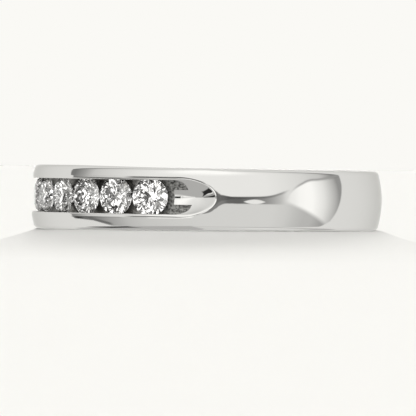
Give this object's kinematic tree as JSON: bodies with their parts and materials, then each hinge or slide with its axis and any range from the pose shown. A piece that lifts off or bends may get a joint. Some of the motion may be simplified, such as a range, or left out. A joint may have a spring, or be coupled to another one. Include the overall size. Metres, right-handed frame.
{
  "type": "channel set band",
  "caption": "White-gold ring with round brilliants held in a channel between two polished rails, a domed shank and scooped arches at both ends of the row.",
  "frame": {"origin": "on the finger hole's axis, halfway up the band", "axes": "+Z along the finger hole's axis, the middle of the stone row towards -X, the back of the shank towards +X; the ring lies on its side with its lowest edge at -Z"},
  "size_m": [0.0209, 0.021, 0.0038],
  "materials": {
    "white_gold": "mirror polished, with a bare cast channel floor",
    "diamond": "cut and polished"
  },
  "bodies": {
    "root": {"band": "white_gold", "stone_01": "diamond", "stone_02": "diamond", "stone_03": "diamond", "stone_04": "diamond", "stone_05": "diamond", "stone_06": "diamond", "stone_07": "diamond", "stone_08": "diamond", "stone_09": "diamond", "stone_10": "diamond", "stone_11": "diamond"}
  },
  "joints": []
}
